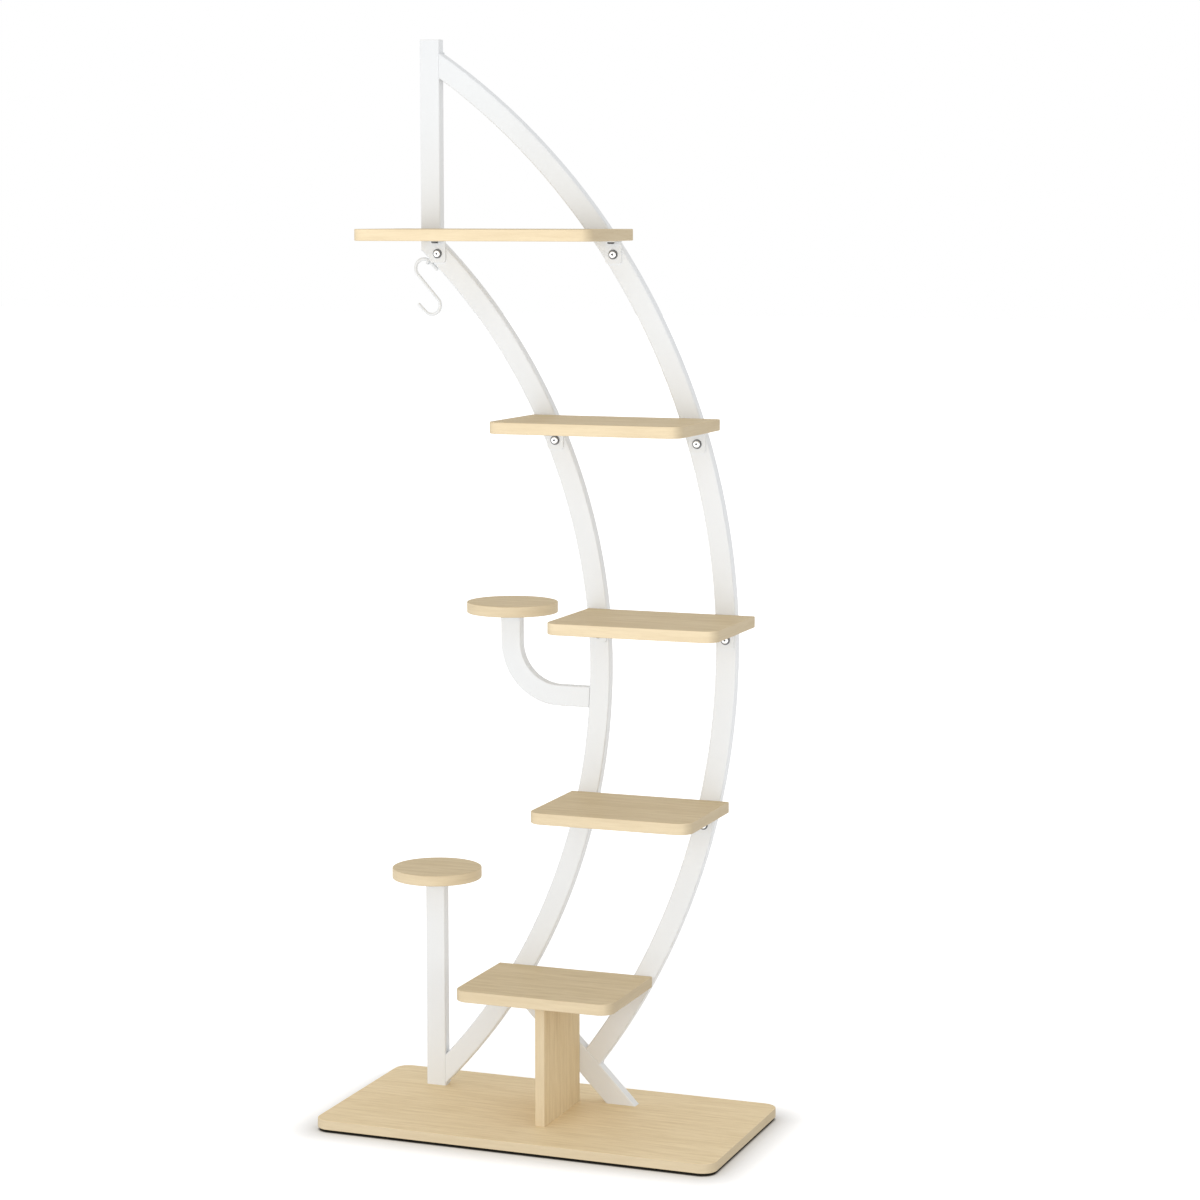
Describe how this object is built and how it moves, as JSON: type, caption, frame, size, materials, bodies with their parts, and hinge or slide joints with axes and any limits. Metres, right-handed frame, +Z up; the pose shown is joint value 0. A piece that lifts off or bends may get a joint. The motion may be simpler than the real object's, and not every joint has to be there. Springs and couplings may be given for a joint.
{
  "type": "tiered plant stand",
  "caption": "Half-moon plant stand: bent rectangular steel tube on a wooden base, with staggered wooden shelves, round trays and a swinging basket hook.",
  "frame": {"origin": "on the floor, under the centre of the base board", "axes": "+Z up, +X to the right along the base, +Y to the back, towards the tube frame"},
  "size_m": [0.742, 0.375, 1.905],
  "materials": {
    "light_wood": "light maple wood-grain board, satin",
    "white_powder_coat": "satin white powder coat",
    "zinc_steel": "bright zinc plate",
    "brass": "turned",
    "black_rubber": "matte",
    "white_plastic": "moulded, satin",
    "dowel_wood": "plain beech"
  },
  "bodies": {
    "stand": {"base_board": "light_wood", "base_screws": "zinc_steel", "bolt_washers": "zinc_steel", "brace": "white_powder_coat", "brace_foot_plate": "zinc_steel", "bracket_lower_left": "white_powder_coat", "bracket_lower_right": "white_powder_coat", "bracket_middle_left": "white_powder_coat", "bracket_middle_right": "white_powder_coat", "bracket_top_left": "white_powder_coat", "bracket_top_right": "white_powder_coat", "bracket_upper_left": "white_powder_coat", "bracket_upper_right": "white_powder_coat", "foot_back_left": "black_rubber", "foot_back_middle": "black_rubber", "foot_back_right": "black_rubber", "foot_front_left": "black_rubber", "foot_front_middle": "black_rubber", "foot_front_right": "black_rubber", "frame_bolts": "zinc_steel", "hook_eye": "white_powder_coat", "inner_arc_joiner": "zinc_steel", "inner_arc_lower": "white_powder_coat", "inner_arc_upper": "white_powder_coat", "joiner_screws": "zinc_steel", "lower_post": "white_powder_coat", "lower_post_foot_plate": "zinc_steel", "main_post": "white_powder_coat", "outer_arc_joiner": "zinc_steel", "outer_arc_lower": "white_powder_coat", "outer_arc_upper": "white_powder_coat", "panel_dowels": "dowel_wood", "panel_screws": "zinc_steel", "post_cap": "white_plastic", "rear_screws": "zinc_steel", "shelf_bolts": "zinc_steel", "shelf_bottom": "light_wood", "shelf_inserts": "brass", "shelf_lower": "light_wood", "shelf_middle": "light_wood", "shelf_top": "light_wood", "shelf_upper": "light_wood", "support_panel": "light_wood", "tray_arm": "white_powder_coat", "tray_lower": "light_wood", "tray_plate_lower": "white_powder_coat", "tray_plate_upper": "white_powder_coat", "tray_screws": "zinc_steel", "tray_upper": "light_wood", "tube_nuts": "zinc_steel"},
    "hook": {"s_hook": "white_powder_coat"}
  },
  "joints": [
    {"name": "hook_swing", "type": "hinge", "parent": "stand", "child": "hook", "pos_m": [-0.26338, 0.095, 1.515], "axis": [0, 1, 0], "range_deg": [-6, 25]}
  ]
}
